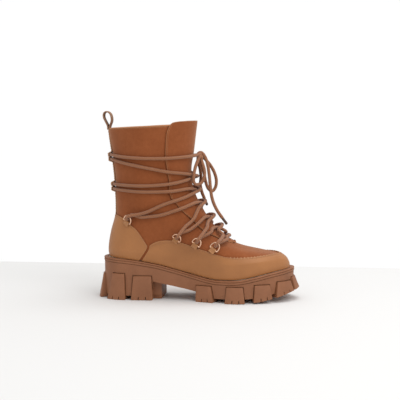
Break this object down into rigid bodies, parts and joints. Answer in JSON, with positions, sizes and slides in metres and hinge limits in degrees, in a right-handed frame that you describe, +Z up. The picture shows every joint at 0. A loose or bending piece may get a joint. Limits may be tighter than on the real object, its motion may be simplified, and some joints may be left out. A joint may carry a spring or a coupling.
{
  "type": "lace-up ankle boot",
  "caption": "Right lace-up ankle boot: suede shaft and vamp, leather mudguard and heel counter, lace wrapped round the shaft through D-rings, and a chunky lug sole.",
  "frame": {"origin": "middle of the boot's box, on the ground", "axes": "+X towards the toe, +Y towards the inner side of the foot, +Z up"},
  "size_m": [0.289, 0.113, 0.2679],
  "materials": {
    "rubber": "matt moulded rubber",
    "foam": "closed-cell foam",
    "steel": "brushed steel strip",
    "board": "pressed fibre board",
    "lining": "soft textile lining",
    "suede": "napped suede",
    "leather": "smooth leather with a soft sheen",
    "ring_metal": "polished rose-gold plated wire",
    "lace": "round braided lace",
    "aglet": "dark tip"
  },
  "bodies": {
    "boot": {"outsole": "rubber", "welt": "rubber", "midsole": "foam", "shank": "steel", "insole_board": "board", "footbed": "lining", "lining": "lining", "toe_puff": "board", "heel_stiffener": "board", "shaft_foam": "foam", "vamp": "suede", "shaft": "suede", "collar_binding": "leather", "tongue_flap": "suede", "mudguard": "leather", "heel_counter": "leather", "back_strap": "suede", "ring_tab_ankle_outer": "leather", "ring_tab_ankle_inner": "leather", "ring_tab_rear_outer": "leather", "ring_tab_rear_inner": "leather", "ring_tab_middle_outer": "leather", "ring_tab_middle_inner": "leather", "ring_tab_front_outer": "leather", "ring_tab_front_inner": "leather", "lace": "lace", "bow_knot": "lace", "bow_loop_outer": "lace", "bow_loop_inner": "lace", "tail_outer": "lace", "aglet_outer": "aglet", "tail_inner": "lace", "aglet_inner": "aglet"},
    "pull_loop": {"pull_loop": "suede"},
    "d_ring_ankle_outer": {"d_ring_ankle_outer": "ring_metal"},
    "d_ring_ankle_inner": {"d_ring_ankle_inner": "ring_metal"},
    "d_ring_rear_outer": {"d_ring_rear_outer": "ring_metal"},
    "d_ring_rear_inner": {"d_ring_rear_inner": "ring_metal"},
    "d_ring_middle_outer": {"d_ring_middle_outer": "ring_metal"},
    "d_ring_middle_inner": {"d_ring_middle_inner": "ring_metal"},
    "d_ring_front_outer": {"d_ring_front_outer": "ring_metal"},
    "d_ring_front_inner": {"d_ring_front_inner": "ring_metal"}
  },
  "joints": [
    {"name": "pull_loop_fold", "type": "hinge", "parent": "boot", "child": "pull_loop", "pos_m": [-0.12895, -0.00004, 0.24574], "axis": [0, 1, 0], "range_deg": [-30, 30], "stiffness_Nm_per_rad": 0.02},
    {"name": "d_ring_ankle_outer_swing", "type": "hinge", "parent": "boot", "child": "d_ring_ankle_outer", "pos_m": [-0.09798, -0.03298, 0.11108], "axis": [-0.7504, 0.3421, 0.5655], "range_deg": [-4, 4]},
    {"name": "d_ring_ankle_inner_swing", "type": "hinge", "parent": "boot", "child": "d_ring_ankle_inner", "pos_m": [-0.09798, 0.0329, 0.11108], "axis": [0.7504, 0.3421, -0.5655], "range_deg": [-4, 4]},
    {"name": "d_ring_rear_outer_swing", "type": "hinge", "parent": "boot", "child": "d_ring_rear_outer", "pos_m": [-0.02664, -0.04164, 0.08771], "axis": [-0.798, 0.0394, 0.6013], "range_deg": [-4, 4]},
    {"name": "d_ring_rear_inner_swing", "type": "hinge", "parent": "boot", "child": "d_ring_rear_inner", "pos_m": [-0.02664, 0.04157, 0.08771], "axis": [0.798, 0.0394, -0.6013], "range_deg": [-4, 4]},
    {"name": "d_ring_middle_outer_swing", "type": "hinge", "parent": "boot", "child": "d_ring_middle_outer", "pos_m": [0.00147, -0.04584, 0.08179], "axis": [-0.7949, 0.0961, 0.599], "range_deg": [-4, 4]},
    {"name": "d_ring_middle_inner_swing", "type": "hinge", "parent": "boot", "child": "d_ring_middle_inner", "pos_m": [0.00146, 0.04577, 0.08179], "axis": [0.7948, 0.0982, -0.5989], "range_deg": [-4, 4]},
    {"name": "d_ring_front_outer_swing", "type": "hinge", "parent": "boot", "child": "d_ring_front_outer", "pos_m": [0.02628, -0.04604, 0.07561], "axis": [-0.7878, 0.1641, 0.5937], "range_deg": [-4, 4]},
    {"name": "d_ring_front_inner_swing", "type": "hinge", "parent": "boot", "child": "d_ring_front_inner", "pos_m": [0.02619, 0.04648, 0.07562], "axis": [0.7836, 0.1933, -0.5905], "range_deg": [-4, 4]}
  ]
}
